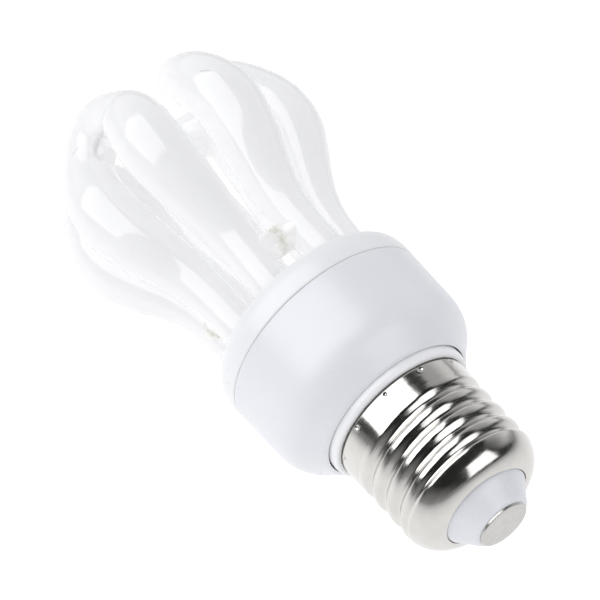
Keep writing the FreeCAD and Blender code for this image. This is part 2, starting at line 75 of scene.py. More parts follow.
# folds left where a loop was bent: places on the glass, each with its depth and half width
FOLDS = {
    "ab": [(20.67, 1.48, 99.17, 0.05, 0.45), (22.01, 0.09, 97.79, 0.35, 0.50), (21.81, -1.46, 97.45, 0.60, 0.55), (20.90, -2.83, 97.31, 0.75, 0.60),
           (19.68, -3.87, 97.00, 0.85, 0.65), (17.57, -4.78, 97.28, 1.00, 0.75), (14.92, -5.89, 97.85, 1.30, 0.90), (14.09, -6.80, 97.39, 1.30, 0.95),
           (13.95, -7.45, 96.58, 1.10, 0.95), (13.40, -7.49, 95.54, 0.70, 0.90)],
    "cd": [(11.09, 10.50, 102.15, 0.05, 0.40), (14.93, 10.91, 98.43, 0.22, 0.42), (16.64, 11.37, 95.76, 0.26, 0.42), (17.67, 11.83, 93.13, 0.24, 0.42),
           (18.15, 12.13, 91.24, 0.15, 0.42), (18.37, 12.25, 89.55, 0.03, 0.42)],
}
LEAN_FROM_W, LEAN_SPAN = 56.0, 44.0
BRIDGE_W, BRIDGE_R = 61.3, 2.95
REST_AZIMUTH, REST_TILT = 204.58, 4.560
REST_SHIFT = (52.3666, -0.5736, 16.7544)


# ------------------------------------------------------------------ frame of the lamp
def rot(axis, deg):
    return Matrix.Rotation(math.radians(deg), 4, axis)


LAY = Matrix.Translation(Vector(REST_SHIFT) * 0.001) @ rot("Y", REST_TILT) @ rot("Y", -90.0) @ rot("Z", 180.0 - REST_AZIMUTH)


# ------------------------------------------------------------------ curves
class Spline:
    """Natural cubic through points, by chord length."""

    def __init__(self, pts, t=None):
        p = np.asarray(pts, float)
        if p.ndim == 1:
            p = p[:, None]
        if t is None:
            t = np.concatenate([[0], np.cumsum(np.linalg.norm(np.diff(p, axis=0), axis=1))])
        n = len(t)
        h = np.diff(t)
        a = np.zeros((n, n))
        rhs = np.zeros((n, p.shape[1]))
        a[0, 0] = a[-1, -1] = 1
        for i in range(1, n - 1):
            a[i, i - 1], a[i, i], a[i, i + 1] = h[i - 1], 2 * (h[i - 1] + h[i]), h[i]
            rhs[i] = 6 * ((p[i + 1] - p[i]) / h[i] - (p[i] - p[i - 1]) / h[i - 1])
        self.m, self.p, self.t, self.h = np.linalg.solve(a, rhs), p, np.asarray(t, float), h

    def __call__(self, x):
        x = np.atleast_1d(np.asarray(x, float))
        i = np.clip(np.searchsorted(self.t, x) - 1, 0, len(self.h) - 1)
        h = self.h[i][:, None]
        a, b = (self.t[i + 1] - x)[:, None] / h, (x - self.t[i])[:, None] / h
        return a * self.p[i] + b * self.p[i + 1] + ((a ** 3 - a) * self.m[i] + (b ** 3 - b) * self.m[i + 1]) * h * h / 6


def curve(pts, n):
    s = Spline(pts)
    return [tuple(q) for q in s(np.linspace(0, s.t[-1], n))]


def smooth(t):
    t = np.clip(t, 0.0, 1.0)
    return t * t * (3 - 2 * t)


def rounded(pts, steps=4):
    """Closed profile.  A point given as (r, w, radius) gets that corner rounded."""
    out = []
    n = len(pts)
    for i in range(n):
        q = pts[i]
        v = np.array(q[:2], float)
        if len(q) < 3:
            out.append(tuple(v))
            continue
        a, b = np.array(pts[i - 1][:2], float) - v, np.array(pts[(i + 1) % n][:2], float) - v
        la, lb = np.linalg.norm(a), np.linalg.norm(b)
        half = math.acos(max(-1.0, min(1.0, float(a @ b) / (la * lb)))) / 2
        d = min(q[2] / max(math.tan(half), 1e-3), 0.48 * la, 0.48 * lb)
        p0, p2 = v + a / la * d, v + b / lb * d
        for k in range(steps + 1):
            t = k / steps
            out.append(tuple((1 - t) ** 2 * p0 + 2 * t * (1 - t) * v + t * t * p2))
    return out


# ------------------------------------------------------------------ meshes
def piece(name, verts, faces, sharp=32.0):
    me = bpy.data.meshes.new(name)
    me.from_pydata([tuple(0.001 * np.asarray(v)) for v in verts], [], faces)
    me.validate()
    bm = bmesh.new()
    bm.from_mesh(me)
    bmesh.ops.remove_doubles(bm, verts=bm.verts, dist=1e-7)
    bmesh.ops.recalc_face_normals(bm, faces=bm.faces)
    bm.to_mesh(me)
    bm.free()
    me.shade_smooth()
    if sharp:
        me.set_sharp_from_angle(angle=math.radians(sharp))
    o = bpy.data.objects.new(name, me)
    bpy.context.scene.collection.objects.link(o)
    o.matrix_world = LAY
    return o


def grid(P, close_rows=False, base=0):
    """Faces of a grid of points [row][col], closed along the columns."""
    n, m = P.shape[:2]
    f = []
    for i in range(n if close_rows else n - 1):
        j = (i + 1) % n
        for k in range(m):
            l = (k + 1) % m
            f.append((base + i * m + k, base + i * m + l, base + j * m + l, base + j * m + k))
    return f


def lathe(name, prof, seg=192, sharp=32.0):
    """Closed profile (r, w) turned about the axis.  Points on the axis become one vertex."""
    verts, ring, faces = [], [], []
    cs = [(math.cos(2 * math.pi * k / seg), math.sin(2 * math.pi * k / seg)) for k in range(seg)]
    for r, w in prof:
        if r < 1e-6:
            ring.append([len(verts)] * seg)
            verts.append((0, 0, w))
        else:
            ring.append(list(range(len(verts), len(verts) + seg)))
            verts += [(r * c, r * s, w) for c, s in cs]
    for a, b in zip(ring, ring[1:] + ring[:1]):
        for k in range(seg):
            l = (k + 1) % seg
            q = []
            for v in (a[k], a[l], b[l], b[k]):
                if v not in q:
                    q.append(v)
            if len(q) > 2:
                faces.append(tuple(q))
    return piece(name, verts, faces, sharp)


# ------------------------------------------------------------------ glass
def u_stations(lean_r, lean_s, twist, bent, n):
    half = [(r, -s, w, a) for r, s, w, a in U_STATIONS]
    full = half + [(r, -s, w, a) for r, s, w, a in reversed(half[:-1])]
    pts, rad = [], []
    for i, (r, s, w, a) in enumerate(full):
        g = float(smooth((w - LEAN_FROM_W) / LEAN_SPAN))
        dr, ds, dw, da = bent.get(i, (0.0, 0.0, 0.0, 0.0))
        pts.append((r + lean_r * g + dr, s + lean_s * g + ds, w + twist * s * g + dw))
        rad.append(a + da)
    c = Spline(pts)
    rc = Spline(rad, c.t)
    t = np.linspace(0, c.t[-1], 4000)
    q = c(t)
    ln = np.concatenate([[0], np.cumsum(np.linalg.norm(np.diff(q, axis=0), axis=1))])
    u = np.linspace(0, 1, n)
    u = u - 0.6 / (2 * np.pi) * np.sin(2 * np.pi * (u - 0.5))          # rows closer together round the bend
    ts = np.interp(u * ln[-1], ln, t)
    P, R = c(ts), rc(ts)[:, 0]
    T = c(np.clip(ts + 1e-3, 0, c.t[-1])) - c(np.clip(ts - 1e-3, 0, c.t[-1]))
    T /= np.linalg.norm(T, axis=1)[:, None]
    T[0], T[-1] = (0, 0, 1), (0, 0, -1)
    return P, T, R


def u_grid(az, lean_r, lean_s, twist, bent, n=224, m=80):
    P, T, R = u_stations(lean_r, lean_s, twist, bent, n)
    side = np.array([1.0, 0, 0])
    a = 2 * np.pi * np.arange(m) / m
    G = np.zeros((n, m, 3))
    for i in range(n):
        nn = side - T[i] * (side @ T[i])
        nn /= np.linalg.norm(nn)
        b = np.cross(T[i], nn)
        side = nn
        G[i] = P[i] + R[i] * (np.cos(a)[:, None] * nn + np.sin(a)[:, None] * b)
    z = math.radians(az)
    M = np.array([[math.cos(z), -math.sin(z), 0], [math.sin(z), math.cos(z), 0], [0, 0, 1]])
    return G @ M.T


def fold(G, marks):
    """Presses a fold into a loop: each place sinks towards the middle of the tube."""
    marks = np.array(marks)
    k = np.linspace(0, len(marks) - 1, 240)
    line = np.stack([np.interp(k, np.arange(len(marks)), marks[:, c]) for c in range(5)], axis=1)
    centre = G.mean(axis=1, keepdims=True)
    out, sunk = G.copy(), np.zeros(G.shape[:2])
    for i in range(G.shape[0]):
        if np.abs(G[i] - line[:, None, :3]).sum(axis=2).min() > 6.0:
            continue
        dist = np.linalg.norm(G[i][:, None] - line[None, :, :3], axis=2)
        j = dist.argmin(axis=1)
        near = dist[np.arange(len(j)), j]
        sink = line[j, 3] * np.exp(-(near / line[j, 4]) ** 2)
        n = G[i] - centre[i]
        out[i] = G[i] - n / np.linalg.norm(n, axis=1)[:, None] * sink[:, None]
        sunk[i] = sink
    return out, sunk


def leg_at(az, sg, w):
    for a, b in zip(U_STATIONS, U_STATIONS[1:]):
        if a[2] <= w <= b[2]:
            k = (w - a[2]) / (b[2] - a[2])
            r, s = a[0] + k * (b[0] - a[0]), sg * (a[1] + k * (b[1] - a[1]))
            t = math.radians(az)
            return np.array([r * math.cos(t) - s * math.sin(t), r * math.sin(t) + s * math.cos(t), w])


def make_tubes():
    verts, faces, depth = [], [], []
    for name, az, lr, ls, tw in U_SET:
        G = u_grid(az, lr, ls, tw, BENT.get(name, {}))
        sunk = np.zeros(G.shape[:2])
        if name in FOLDS:
            G, sunk = fold(G, FOLDS[name])
        n, m = G.shape[:2]
        base = len(verts)
        depth += [0.0] * (len(verts) - len(depth)) + list(sunk.reshape(-1))
        verts += [tuple(v) for v in G.reshape(-1, 3)]
        faces += grid(G, base=base)
        # the feet are pressed shut, slightly domed
        for i, dw in ((0, -0.25), (n - 1, -0.25)):
            c = G[i].mean(0)
            mid = len(verts)
            inner = G[i] * 0.5 + c * 0.5 + np.array([0, 0, dw * 0.8])
            verts += [tuple(v) for v in inner] + [tuple(c + np.array([0, 0, dw]))]
            for k in range(m):
                l = (k + 1) % m
                faces.append((base + i * m + k, base + i * m + l, mid + l, mid + k))
                faces.append((mid + k, mid + l, mid + m))
    depth += [0.0] * (len(verts) - len(depth))
    o = piece("tube_petals", verts, faces, sharp=60.0)
    pressed = o.data.attributes.new("pressed", "FLOAT", "POINT")
    pressed.data.foreach_set("value", depth)
    return o


def make_bridges():
    az = {n: a for n, a, *_ in U_SET}
    verts, faces, runs = [], [], []
    m = 64
    a = 2 * np.pi * np.arange(m) / m
    for (n0, s0), (n1, s1), end in ((("ef", 1), ("ab", -1), 0.43), (("ab", 1), ("cd", -1), 0.52), (("cd", 1), ("gh", -1), 0.55)):
        p, q = leg_at(az[n0], s0, BRIDGE_W + 0.5), leg_at(az[n1], s1, BRIDGE_W + 0.5)
        d = (q - p) / np.linalg.norm(q - p)
        L = np.linalg.norm(q - p)
        runs.append((p, d, L, end))
        up = np.array([0, 0, 1.0])
        up = up - d * (up @ d)
        up /= np.linalg.norm(up)
        sd = np.cross(d, up)
        rows = []
        ts = np.linspace(1.7, L - 1.7, 44)
        rise = [float(smooth((4.4 - min(t, L - t)) / 2.5)) for t in ts]
        for t, f in zip(ts, rise):         # outer wall, flared where it runs into the legs
            rows.append((t, BRIDGE_R - 0.32 + 0.42 * f))
        for t, f in zip(ts[::-1], rise[::-1]):   # inner wall
            rows.append((t, BRIDGE_R - 0.95 + 0.35 * f))
        G = np.array([p + d * t + r * (np.cos(a)[:, None] * up + np.sin(a)[:, None] * sd) for t, r in rows])
        base = len(verts)
        verts += [tuple(v) for v in G.reshape(-1, 3)]
        faces += grid(G, close_rows=True, base=base)
    o = piece("tube_bridges", verts, faces, sharp=50.0)
    bare = o.data.attributes.new("bare", "FLOAT", "POINT")
    for v, a in zip(o.data.vertices, bare.data):
        q = np.array(v.co) * 1000.0
        for p, d, L, end in runs:
            t = float((q - p) @ d) / L
            if 0.0 < t < 1.0 and np.linalg.norm(q - p - d * (t * L)) < 4.0:
                a.value = math.exp(-((t - end) / 0.115) ** 2)
    return o


# ------------------------------------------------------------------ screw shell
def thread_cut(w, az):
    fade = smooth((w - THREAD_LOW_W[0]) / (THREAD_LOW_W[1] - THREAD_LOW_W[0])) * \
        smooth((THREAD_HIGH_W[1] - w) / (THREAD_HIGH_W[1] - THREAD_HIGH_W[0]))
    ph = 2 * np.pi * (w - THREAD_PHASE_W) / THREAD_PITCH - az
    return fade * THREAD_DEPTH * (0.5 * (1 - np.cos(ph))) ** 1.6


def make_shell():
    az = []
    step = 360.0 / STAKES
    for k in range(STAKES):
        c = STAKE_AZ + step * k
        az += list(np.linspace(-4.2, 4.2, 17) + c)
        az += list(np.linspace(4.2, step - 4.2, 15)[1:-1] + c)
    az = np.radians(np.array(az))
    rows = [(r, w, -1.0) for r, w in curve(NOSE + [(THREAD_CREST_R, 9.82)], 34)]
    w = 9.82
    while w < 23.4:
        w += 0.15
        rows.append((THREAD_CREST_R, w, -1.0))
    for w in np.linspace(23.6, 25.0, 6):
        rows.append((13.11 + 0.03 * (w - 23.6) / 1.4, w, -1.0))
    for w in np.linspace(25.1, SHELL_RIM_W - 0.26, 16):
        rows.append((13.15, w, 0.0))
    rows += [(13.12, SHELL_RIM_W - 0.16, 9.0), (13.06, SHELL_RIM_W - 0.07, 9.0), (12.97, SHELL_RIM_W - 0.01, 9.0), (12.90, SHELL_RIM_W, 9.0), (12.86, SHELL_RIM_W - 0.05, 9.0)]
    out = []
    for r, w, tag in rows:
        rr = r - thread_cut(w, az)
        if tag == 0.0:
            for k in range(STAKES):
                c = math.radians(STAKE_AZ + step * k)
                lean = 0.10 * math.sin(2.3 * k + 0.7)
                du = (np.mod(az - c + np.pi, 2 * np.pi) - np.pi) * SHELL_RIM_R
                dv = w - (STAKE_W + lean)
                q = np.sqrt((du / (0.85 + 0.15 * math.sin(1.7 * k))) ** 2 + (dv / 0.9) ** 2)
                rr = rr - (0.22 + 0.05 * math.sin(3.1 * k)) * np.exp(-(q / 0.34) ** 2) + 0.035 * np.exp(-((q - 0.66) / 0.18) ** 2)
        out.append(np.stack([rr * np.cos(az), rr * np.sin(az), np.full_like(az, w)], 1))
    back = [(12.85, w) for w in np.linspace(SHELL_RIM_W - 0.4, 23.4, 6)]
    w = 23.4
    while w > 10.0:
        w -= 0.36
        back.append((THREAD_CREST_R - SHELL_T, w))
    back += [(12.74, 9.35), (12.45, 8.2), (12.0, 7.4), (11.3, 6.6), (10.5, 5.95), (9.6, 5.4), (8.95, 5.12), (8.46, 5.02), (8.38, 4.95), (8.36, 4.80)]
    for r, w in back:
        rr = r - thread_cut(w, az)
        out.append(np.stack([rr * np.cos(az), rr * np.sin(az), np.full_like(az, w)], 1))
    G = np.array(out)
    return piece("screw_shell_plated", [tuple(v) for v in G.reshape(-1, 3)], grid(G, close_rows=True), sharp=50.0)


# ------------------------------------------------------------------ plastic body
def make_neck():
    return lathe("neck_collar", rounded(
        [(10.5, 13.0, 0.2), (11.3, 13.0, 0.2), (11.6, 13.4, 0.2), (11.6, 22.6, 0.2), (12.78, 23.6, 0.1), (12.78, 27.10), (13.35, 27.10)]
        + curve([(13.35, 27.10), (13.74, 27.17), (14.01, 27.44), (14.15, 27.9), (14.20, 28.6), (14.20, 29.4)], 18)[1:]
        + [(14.20, 32.0), (16.1, 32.0, 0.15), (16.1, 33.3, 0.2), (10.5, 33.3, 0.2)]), 208)


def make_rim_gap_shade():
    """A thin uneven dark ring in the joint between the metal rim and the collar: painted shade for the shadow of the
    gap.
    """
    o = lathe("rim_gap_painted_shade", [(12.90, 26.86), (13.05, 26.88), (13.13, 26.93), (13.17, 27.00), (13.16, 27.07), (13.05, 27.12), (12.90, 27.12)], 240)
    for v in o.data.vertices:
        t = math.atan2(v.co.y, v.co.x)
        k = 1.0 + 0.0022 * math.sin(7 * t + 0.4) + 0.0014 * math.sin(19 * t + 1.1) + 0.0010 * math.sin(41 * t)
        v.co.x *= k
        v.co.y *= k
    return o


def make_housing():
    out = curve(HOUSING_OUT, 90)
    return lathe("housing_lower", rounded(
        [(14.46, 28.86, 0.06)] + out + [(19.86, SEAM_W - 0.02, 0.05), (19.72, SEAM_W, 0.05), (18.35, SEAM_W, 0.1), (18.35, 38.4)]
        + curve([(18.35, 38.4), (18.2, 36.6), (17.65, 34.6), (16.9, 33.1), (16.4, 32.0)], 12)[1:]
        + [(14.46, 32.0, 0.1)]), 256, sharp=40.0)


def leg_feet():
    out = []
    for _, az, *_ in U_SET:
        r0, s0 = U_STATIONS[1][0], U_STATIONS[1][1]
        a = math.radians(az)
        for sg in (-1, 1):
            out.append((r0 * math.cos(a) - sg * s0 * math.sin(a), r0 * math.sin(a) + sg * s0 * math.cos(a)))
    return out


def make_holder():
    lo = SEAM_W + SEAM_GAP
    o = lathe("holder_upper", rounded(
        [(17.15, 45.2, 0.1), (18.0, 45.2, 0.1), (18.28, 45.5, 0.1), (18.28, lo), (19.74, lo, 0.05), (19.88, lo + 0.03, 0.05)]
        + curve([(20.0, lo + 0.25), (20.03, 49.4), (19.92, 50.8), (19.5, 52.1), (18.75, 53.05), (17.9, 53.48), (17.0, HOLDER_TOP_W)], 44)
        + [(0, HOLDER_TOP_W), (0, HOLDER_TOP_W - HOLDER_PLATE_T), (17.15, HOLDER_TOP_W - HOLDER_PLATE_T, 0.3)]), 256, sharp=40.0)
    # a hole for each leg, with a small lead-in
    verts, faces = [], []
    m = 56
    a = 2 * np.pi * np.arange(m) / m
    for x, y in leg_feet():
        rows = [(LEG_HOLE_R, 50.5), (LEG_HOLE_R, 53.25), (LEG_HOLE_R + 0.06, 53.45), (LEG_HOLE_R + 0.22, 53.62), (LEG_HOLE_R + 0.3, 55.0)]
        G = np.array([np.stack([x + r * np.cos(a), y + r * np.sin(a), np.full_like(a, w)], 1) for r, w in rows])
        base = len(verts)
        verts += [tuple(v) for v in G.reshape(-1, 3)]
        faces += grid(G, base=base)
        faces.append(tuple(base + k for k in range(m)))
        faces.append(tuple(base + (len(rows) - 1) * m + k for k in reversed(range(m))))
    cut = piece("holder_cutter", verts, faces, 30.0)
    md = o.modifiers.new("holes", "BOOLEAN")
    md.operation, md.solver, md.object = "DIFFERENCE", "EXACT", cut
    bpy.context.view_layer.update()
    ev = o.evaluated_get(bpy.context.evaluated_depsgraph_get())
    me = bpy.data.meshes.new_from_object(ev)
    o.modifiers.clear()
    old = o.data
    o.data = me
    bpy.data.meshes.remove(old)
    cm = cut.data
    bpy.data.objects.remove(cut)
    bpy.data.meshes.remove(cm)
    me.shade_smooth()
    me.set_sharp_from_angle(angle=math.radians(35))
    return o


def make_insulator():
    return lathe("insulator_cone", rounded(
        [(1.3, 0.52), (4.9, 0.52, 0.1)] + curve([(5.0, 0.55), (5.27, 0.72), (6.1, 1.75), (7.2, 3.3), (8.05, 4.45), (8.28, 4.85)], 30)
        + [(8.28, 5.3), (9.1, 5.55), (9.1, 7.4, 0.3), (1.3, 7.4)]), 192, sharp=40.0)


def make_contact():
    # a shallow dished disc with an upright edge, proud of the insulator, on its rivet
    top = curve([(0.0, 0.035), (1.2, 0.03), (2.4, 0.012), (3.2, 0.0), (3.9, 0.004), (4.4, 0.02)], 30)
    top[0] = (0.0, top[0][1])
    return lathe("contact_disc", rounded(
        top + [(4.70, 0.05, 0.10), (4.74, 0.52, 0.03), (1.25, 0.52), (1.25, 7.4), (2.2, 7.4, 0.1), (2.2, 7.75, 0.2), (1.7, 8.1, 0.2), (0.0, 8.1)]), 160, sharp=35.0)


# ------------------------------------------------------------------ materials
def new_mat(name):
    m = bpy.data.materials.new(name)
    m.use_nodes = True
    nt = m.node_tree
    b = nt.nodes["Principled BSDF"]
    return m, nt, b


def coords(nt, lamp=True):
    """Places in metres: along the lamp's own axes, or in the row frame."""
    v = nt.nodes.new("ShaderNodeTexCoord").outputs["Object"]
    if not lamp:
        return v
    mp = nt.nodes.new("ShaderNodeMapping")
    mp.vector_type = "TEXTURE"
    mp.inputs["Location"].default_value = LAY.translation
    mp.inputs["Rotation"].default_value = LAY.to_euler("XYZ")
    nt.links.new(v, mp.inputs["Vector"])
    return mp.outputs["Vector"]


def noise(nt, vec, scale, detail=3.0, rough=0.55, distort=0.0):
    n = nt.nodes.new("ShaderNodeTexNoise")
    n.inputs["Scale"].default_value = scale
    n.inputs["Detail"].default_value = detail
    n.inputs["Roughness"].default_value = rough
    n.inputs["Distortion"].default_value = distort
    nt.links.new(vec, n.inputs["Vector"])
    return n.outputs["Fac"]


def ramp(nt, fac, stops):
    r = nt.nodes.new("ShaderNodeValToRGB")
    while len(r.color_ramp.elements) < len(stops):
        r.color_ramp.elements.new(0.5)
    for e, (p, c) in zip(r.color_ramp.elements, stops):
        e.position = p
        e.color = (*c, 1.0) if len(c) == 3 else c
    nt.links.new(fac, r.inputs["Fac"])
    return r.outputs["Color"]


def remap(nt, fac, lo, hi, a=0.3, b=0.7):
    m = nt.nodes.new("ShaderNodeMapRange")
    m.inputs["From Min"].default_value = a
    m.inputs["From Max"].default_value = b
    m.inputs["To Min"].default_value = lo
    m.inputs["To Max"].default_value = hi
    nt.links.new(fac, m.inputs["Value"])
    return m.outputs["Result"]


def bump(nt, height, strength, dist, normal=None):
    b = nt.nodes.new("ShaderNodeBump")
    b.inputs["Strength"].default_value = strength
    b.inputs["Distance"].default_value = dist
    nt.links.new(height, b.inputs["Height"])
    if normal is not None:
        nt.links.new(normal, b.inputs["Normal"])
    return b.outputs["Normal"]


def math_node(nt, op, a, b=None):
    n = nt.nodes.new("ShaderNodeMath")
    n.operation = op
    for k, v in enumerate((a, b)):
        if v is None:
            continue
        if isinstance(v, (int, float)):
            n.inputs[k].default_value = v
        else:
            nt.links.new(v, n.inputs[k])
    return n.outputs[0]


def round_axis(nt, vec, around, along):
    """Coordinates that are stretched round the lamp's axis, for marks left by rolling or turning."""
    s = nt.nodes.new("ShaderNodeSeparateXYZ")
    nt.links.new(vec, s.inputs[0])
    ang = math_node(nt, "ARCTAN2", s.outputs["Y"], s.outputs["X"])
    c = nt.nodes.new("ShaderNodeCombineXYZ")
    nt.links.new(math_node(nt, "MULTIPLY", math_node(nt, "SINE", ang), around), c.inputs["X"])
    nt.links.new(math_node(nt, "MULTIPLY", math_node(nt, "COSINE", ang), around), c.inputs["Y"])
    nt.links.new(math_node(nt, "MULTIPLY", s.outputs["Z"], along), c.inputs["Z"])
    return c.outputs[0]


# short strokes of painted shade along small creases near the bends, from one end to the other, in metres along the
# lamp's axes
CREASE_SHADE_STROKES = [((0.01490, -0.00939, 0.09958), (0.01468, -0.01090, 0.09938)), ((0.01462, -0.00990, 0.09966), (0.01440, -0.01126, 0.09945)),
             ((0.01853, 0.01484, 0.09203), (0.01858, 0.01600, 0.09090))]


def stroke(nt, v, a, c, inner, outer):
    """1 along the line from a to c, fading to 0 at the outer distance."""
    a, c = Vector(a), Vector(c)
    d = c - a
    rel = nt.nodes.new("ShaderNodeVectorMath")
    rel.operation = "SUBTRACT"
    rel.inputs[1].default_value = a
    nt.links.new(v, rel.inputs[0])
    along = nt.nodes.new("ShaderNodeVectorMath")
    along.operation = "DOT_PRODUCT"
    along.inputs[1].default_value = d / d.length_squared
    nt.links.new(rel.outputs[0], along.inputs[0])
    foot = nt.nodes.new("ShaderNodeVectorMath")
    foot.operation = "SCALE"
    foot.inputs[0].default_value = d
    nt.links.new(remap(nt, along.outputs["Value"], 0.0, 1.0, 0.0, 1.0), foot.inputs["Scale"])
    off = nt.nodes.new("ShaderNodeVectorMath")
    off.operation = "DISTANCE"
    nt.links.new(rel.outputs[0], off.inputs[0])
    nt.links.new(foot.outputs[0], off.inputs[1])
    return remap(nt, off.outputs["Value"], 0.34, 0.0, inner, outer)


def phosphor_glass():
    m, nt, b = new_mat("phosphor_glass")
    v = coords(nt)
    blot = noise(nt, v, 150.0, 4.0, 0.6)
    coat = ramp(nt, blot, [(0.30, (0.840, 0.840, 0.848)), (0.55, (0.852, 0.852, 0.859)), (0.75, (0.864, 0.864, 0.870))])
    # painted shade: the coating's colour is mixed towards dark grey where the glass sinks into a fold and along the
    # crease strokes, standing in for the shade in the creases
    at = nt.nodes.new("ShaderNodeAttribute")
    at.attribute_name = "pressed"
    painted_crease_shade = remap(nt, at.outputs["Fac"], 0.0, 0.22, 0.30, 1.25)
    for a, c in CREASE_SHADE_STROKES:
        painted_crease_shade = math_node(nt, "MAXIMUM", painted_crease_shade, stroke(nt, v, a, c, 0.00006, 0.00020))
    blend = nt.nodes.new("ShaderNodeMix")
    blend.data_type = "RGBA"
    # the dark grey of the painted shade in folds and creases
    blend.inputs[7].default_value = (0.34, 0.34, 0.33, 1.0)
    nt.links.new(painted_crease_shade, blend.inputs[0])
    nt.links.new(coat, blend.inputs[6])
    nt.links.new(blend.outputs[2], b.inputs["Base Color"])
    nt.links.new(remap(nt, noise(nt, v, 900.0, 2.0), 0.62, 0.80), b.inputs["Roughness"])
    b.inputs["Specular IOR Level"].default_value = 0.1
    b.inputs["Coat Weight"].default_value = 1.0
    b.inputs["Coat Roughness"].default_value = 0.05
    b.inputs["Coat IOR"].default_value = 1.5
    b.inputs["Subsurface Weight"].default_value = 1.0
    b.inputs["Subsurface Radius"].default_value = (1.0, 1.0, 1.0)
    b.inputs["Subsurface Scale"].default_value = 0.009
    nt.links.new(bump(nt, noise(nt, v, 4200.0, 2.0), 0.05, 0.0001), b.inputs["Normal"])
    nt.links.new(bump(nt, noise(nt, v, 70.0, 1.5), 0.10, 0.0006), b.inputs["Coat Normal"])
    return m


def bridge_glass():
    m, nt, b = new_mat("bridge_glass")
    v = coords(nt)
    at = nt.nodes.new("ShaderNodeAttribute")
    at.attribute_name = "bare"
    streak = noise(nt, v, 900.0, 4.0, 0.65)
    fac = math_node(nt, "MULTIPLY", at.outputs["Fac"], remap(nt, streak, 0.45, 1.15))
    nt.links.new(ramp(nt, fac, [(0.0, (0.850, 0.850, 0.855)), (0.40, (0.70, 0.70, 0.66)), (1.0, (0.42, 0.42, 0.34))]), b.inputs["Base Color"])
    nt.links.new(remap(nt, noise(nt, v, 600.0, 2.0), 0.30, 0.50), b.inputs["Roughness"])
    b.inputs["Coat Weight"].default_value = 1.0
    b.inputs["Coat Roughness"].default_value = 0.04
    b.inputs["Coat IOR"].default_value = 1.5
    b.inputs["Subsurface Weight"].default_value = 1.0
    b.inputs["Subsurface Radius"].default_value = (1.0, 1.0, 1.0)
    b.inputs["Subsurface Scale"].default_value = 0.005
    nt.links.new(bump(nt, noise(nt, v, 260.0, 2.0), 0.25, 0.0004), b.inputs["Normal"])
    return m


def white_plastic(name="white_plastic", base=((0.80, 0.812, 0.852), (0.825, 0.836, 0.873))):
    m, nt, b = new_mat(name)
    v = coords(nt)
    tone = noise(nt, v, 60.0, 3.0)
    nt.links.new(ramp(nt, tone, [(0.3, base[0]), (0.7, base[1])]), b.inputs["Base Color"])
    nt.links.new(remap(nt, noise(nt, v, 700.0, 4.0, 0.65), 0.27, 0.36), b.inputs["Roughness"])
    b.inputs["Specular IOR Level"].default_value = 0.5
    b.inputs["Subsurface Weight"].default_value = 0.12
    b.inputs["Subsurface Radius"].default_value = (1.0, 1.0, 1.0)
    b.inputs["Subsurface Scale"].default_value = 0.0012
    grain = bump(nt, noise(nt, v, 5200.0, 2.0), 0.10, 0.0001)
    nt.links.new(bump(nt, noise(nt, v, 45.0, 2.0), 0.05, 0.0005, grain), b.inputs["Normal"])
    return m


# painted shade: near-black colour of the ring in the rim's joint, standing in for the shadow of the gap
def rim_gap_shade_material():
    m, nt, b = new_mat("rim_gap_painted_shade")
    v = coords(nt)
    nt.links.new(ramp(nt, noise(nt, v, 1500.0, 4.0, 0.65), [(0.3, (0.075, 0.072, 0.066)), (0.7, (0.19, 0.185, 0.17))]), b.inputs["Base Color"])
    nt.links.new(remap(nt, noise(nt, v, 2600.0, 2.0), 0.75, 0.95), b.inputs["Roughness"])
    nt.links.new(bump(nt, noise(nt, v, 3800.0, 3.0), 0.5, 0.0002), b.inputs["Normal"])
    return m


def nickel(name="nickel_plate", base=((0.64, 0.63, 0.608), (0.70, 0.69, 0.668)), rough=(0.13, 0.20)):
    m, nt, b = new_mat(name)
    v = coords(nt)
    b.inputs["Metallic"].default_value = 1.0
    nt.links.new(ramp(nt, noise(nt, v, 240.0, 4.0), [(0.3, base[0]), (0.7, base[1])]), b.inputs["Base Color"])
    lines = noise(nt, round_axis(nt, v, 0.0035, 1.0), 3800.0, 3.0, 0.7)
    blot = noise(nt, v, 520.0, 3.0)
    nt.links.new(remap(nt, math_node(nt, "MULTIPLY", lines, blot), rough[0], rough[1], 0.15, 0.38), b.inputs["Roughness"])
    fine = bump(nt, lines, 0.06, 0.00004)
    w = nt.nodes.new("ShaderNodeSeparateXYZ")
    nt.links.new(v, w.inputs[0])
    rolled = math_node(nt, "MULTIPLY", remap(nt, w.outputs["Z"], 0.0, 1.0, 0.0095, 0.0112), remap(nt, w.outputs["Z"], 1.0, 0.0, 0.0216, 0.0232))
    rolled = math_node(nt, "MULTIPLY", rolled, noise(nt, round_axis(nt, v, 0.0009, 1.0), 2100.0, 2.0, 0.55))
    fine = bump(nt, rolled, 0.35, 0.00018, fine)
    nt.links.new(bump(nt, noise(nt, v, 320.0, 2.0), 0.06, 0.0002, fine), b.inputs["Normal"])
    return m


def insulator():
    m, nt, b = new_mat("insulator_grey")
    v = coords(nt)
    nt.links.new(ramp(nt, noise(nt, v, 300.0, 4.0), [(0.3, (0.76, 0.772, 0.815)), (0.7, (0.79, 0.802, 0.845))]), b.inputs["Base Color"])
    nt.links.new(remap(nt, noise(nt, v, 900.0, 3.0), 0.24, 0.38), b.inputs["Roughness"])
    nt.links.new(bump(nt, noise(nt, v, 2600.0, 3.0), 0.08, 0.0001), b.inputs["Normal"])
    return m


